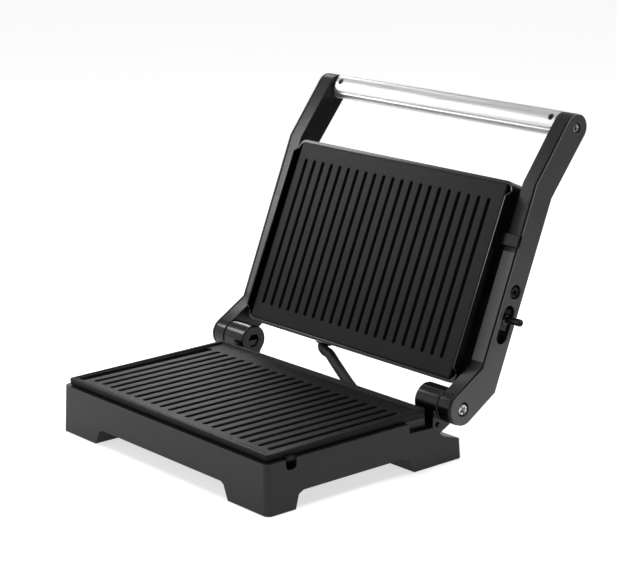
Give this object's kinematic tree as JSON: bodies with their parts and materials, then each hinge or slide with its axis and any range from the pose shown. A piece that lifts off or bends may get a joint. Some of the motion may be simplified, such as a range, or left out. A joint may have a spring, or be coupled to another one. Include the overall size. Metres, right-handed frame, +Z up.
{
  "type": "panini press",
  "caption": "Opened contact grill with two ribbed plates, a floating lid on two bent side arms and a full-width bar handle.",
  "frame": {"origin": "centre of the overall bounding box's underside, on the table under the feet, with the lid opened as shown and the lock knob included", "axes": "+X to the user's right along the hinge axis, +Y towards the hinges and the back, +Z up"},
  "size_m": [0.2856, 0.2888, 0.2444],
  "materials": {
    "charcoal_plastic": "satin",
    "black_plastic": "semi-gloss",
    "arm_grey_plastic": "satin",
    "nonstick_coating": "matte black non-stick coating on cast aluminium",
    "brushed_aluminium": "fine brushed",
    "bright_steel": "polished",
    "black_steel": "blackened",
    "sheet_metal": "mill",
    "black_rubber": "matte",
    "cable_sleeve": "woven sleeve",
    "ceramic": "matte",
    "red_lens": "gloss",
    "green_lens": "gloss"
  },
  "bodies": {
    "base": {"lower_grill_plate": "nonstick_coating", "base_housing": "charcoal_plastic", "foot_pad_front_left": "black_rubber", "foot_pad_front_right": "black_rubber", "foot_pad_rear_left": "black_rubber", "foot_pad_rear_right": "black_rubber", "bottom_cover": "black_plastic", "bottom_screw_front_left": "bright_steel", "bottom_screw_front_right": "bright_steel", "bottom_screw_rear_left": "bright_steel", "bottom_screw_rear_right": "bright_steel", "lower_heat_reflector": "sheet_metal", "lower_heating_element": "bright_steel", "lower_thermostat": "ceramic", "lower_thermal_fuse": "bright_steel", "terminal_block": "ceramic", "hinge_bracket_left": "black_plastic", "bracket_screw_left": "black_steel", "hinge_bolt_left": "bright_steel", "hinge_nut_left": "black_steel", "hinge_bracket_right": "black_plastic", "bracket_screw_right": "black_steel", "hinge_bolt_right": "bright_steel", "hinge_nut_right": "black_steel", "cable_grommet_base": "black_rubber", "link_cable": "cable_sleeve", "cord_gland": "black_rubber"},
    "arms": {"arm_frame_left": "charcoal_plastic", "arm_cover_left": "arm_grey_plastic", "pivot_screw_left": "bright_steel", "pivot_bush_left": "black_plastic", "handle_screw_left": "bright_steel", "arm_frame_right": "charcoal_plastic", "arm_cover_right": "arm_grey_plastic", "pivot_screw_right": "bright_steel", "pivot_bush_right": "black_plastic", "handle_screw_right": "bright_steel", "handle_face_screw_left": "black_steel", "handle_face_screw_right": "black_steel", "handle_shell": "brushed_aluminium", "handle_insert": "brushed_aluminium"},
    "lid": {"lid_housing": "black_plastic", "upper_grill_plate": "nonstick_coating", "upper_heat_reflector": "sheet_metal", "upper_heating_element": "bright_steel", "upper_thermostat": "ceramic", "upper_thermal_fuse": "bright_steel", "power_light": "red_lens", "ready_light": "green_lens", "pivot_bracket_left": "sheet_metal", "pivot_bracket_right": "sheet_metal", "cable_grommet_lid": "black_rubber"},
    "lid_lock": {"lock_bar": "black_plastic", "lock_knob": "black_plastic"}
  },
  "joints": [
    {"name": "arm_hinge", "type": "hinge", "parent": "base", "child": "arms", "pos_m": [-0.0065, 0.02368, 0.0439], "axis": [-1, 0, 0], "range_deg": [-112.6, 67.4], "deforming": ["link_cable"]},
    {"name": "lid_float", "type": "hinge", "parent": "arms", "child": "lid", "pos_m": [-0.0065, 0.07471, 0.12123], "axis": [1, 0, 0], "range_deg": [-1.2, 1.2], "deforming": ["link_cable"]},
    {"name": "lock_slide", "type": "slide", "parent": "arms", "child": "lid_lock", "axis": [0, -0.3843, -0.9232], "range_m": [0, 0.012]}
  ]
}
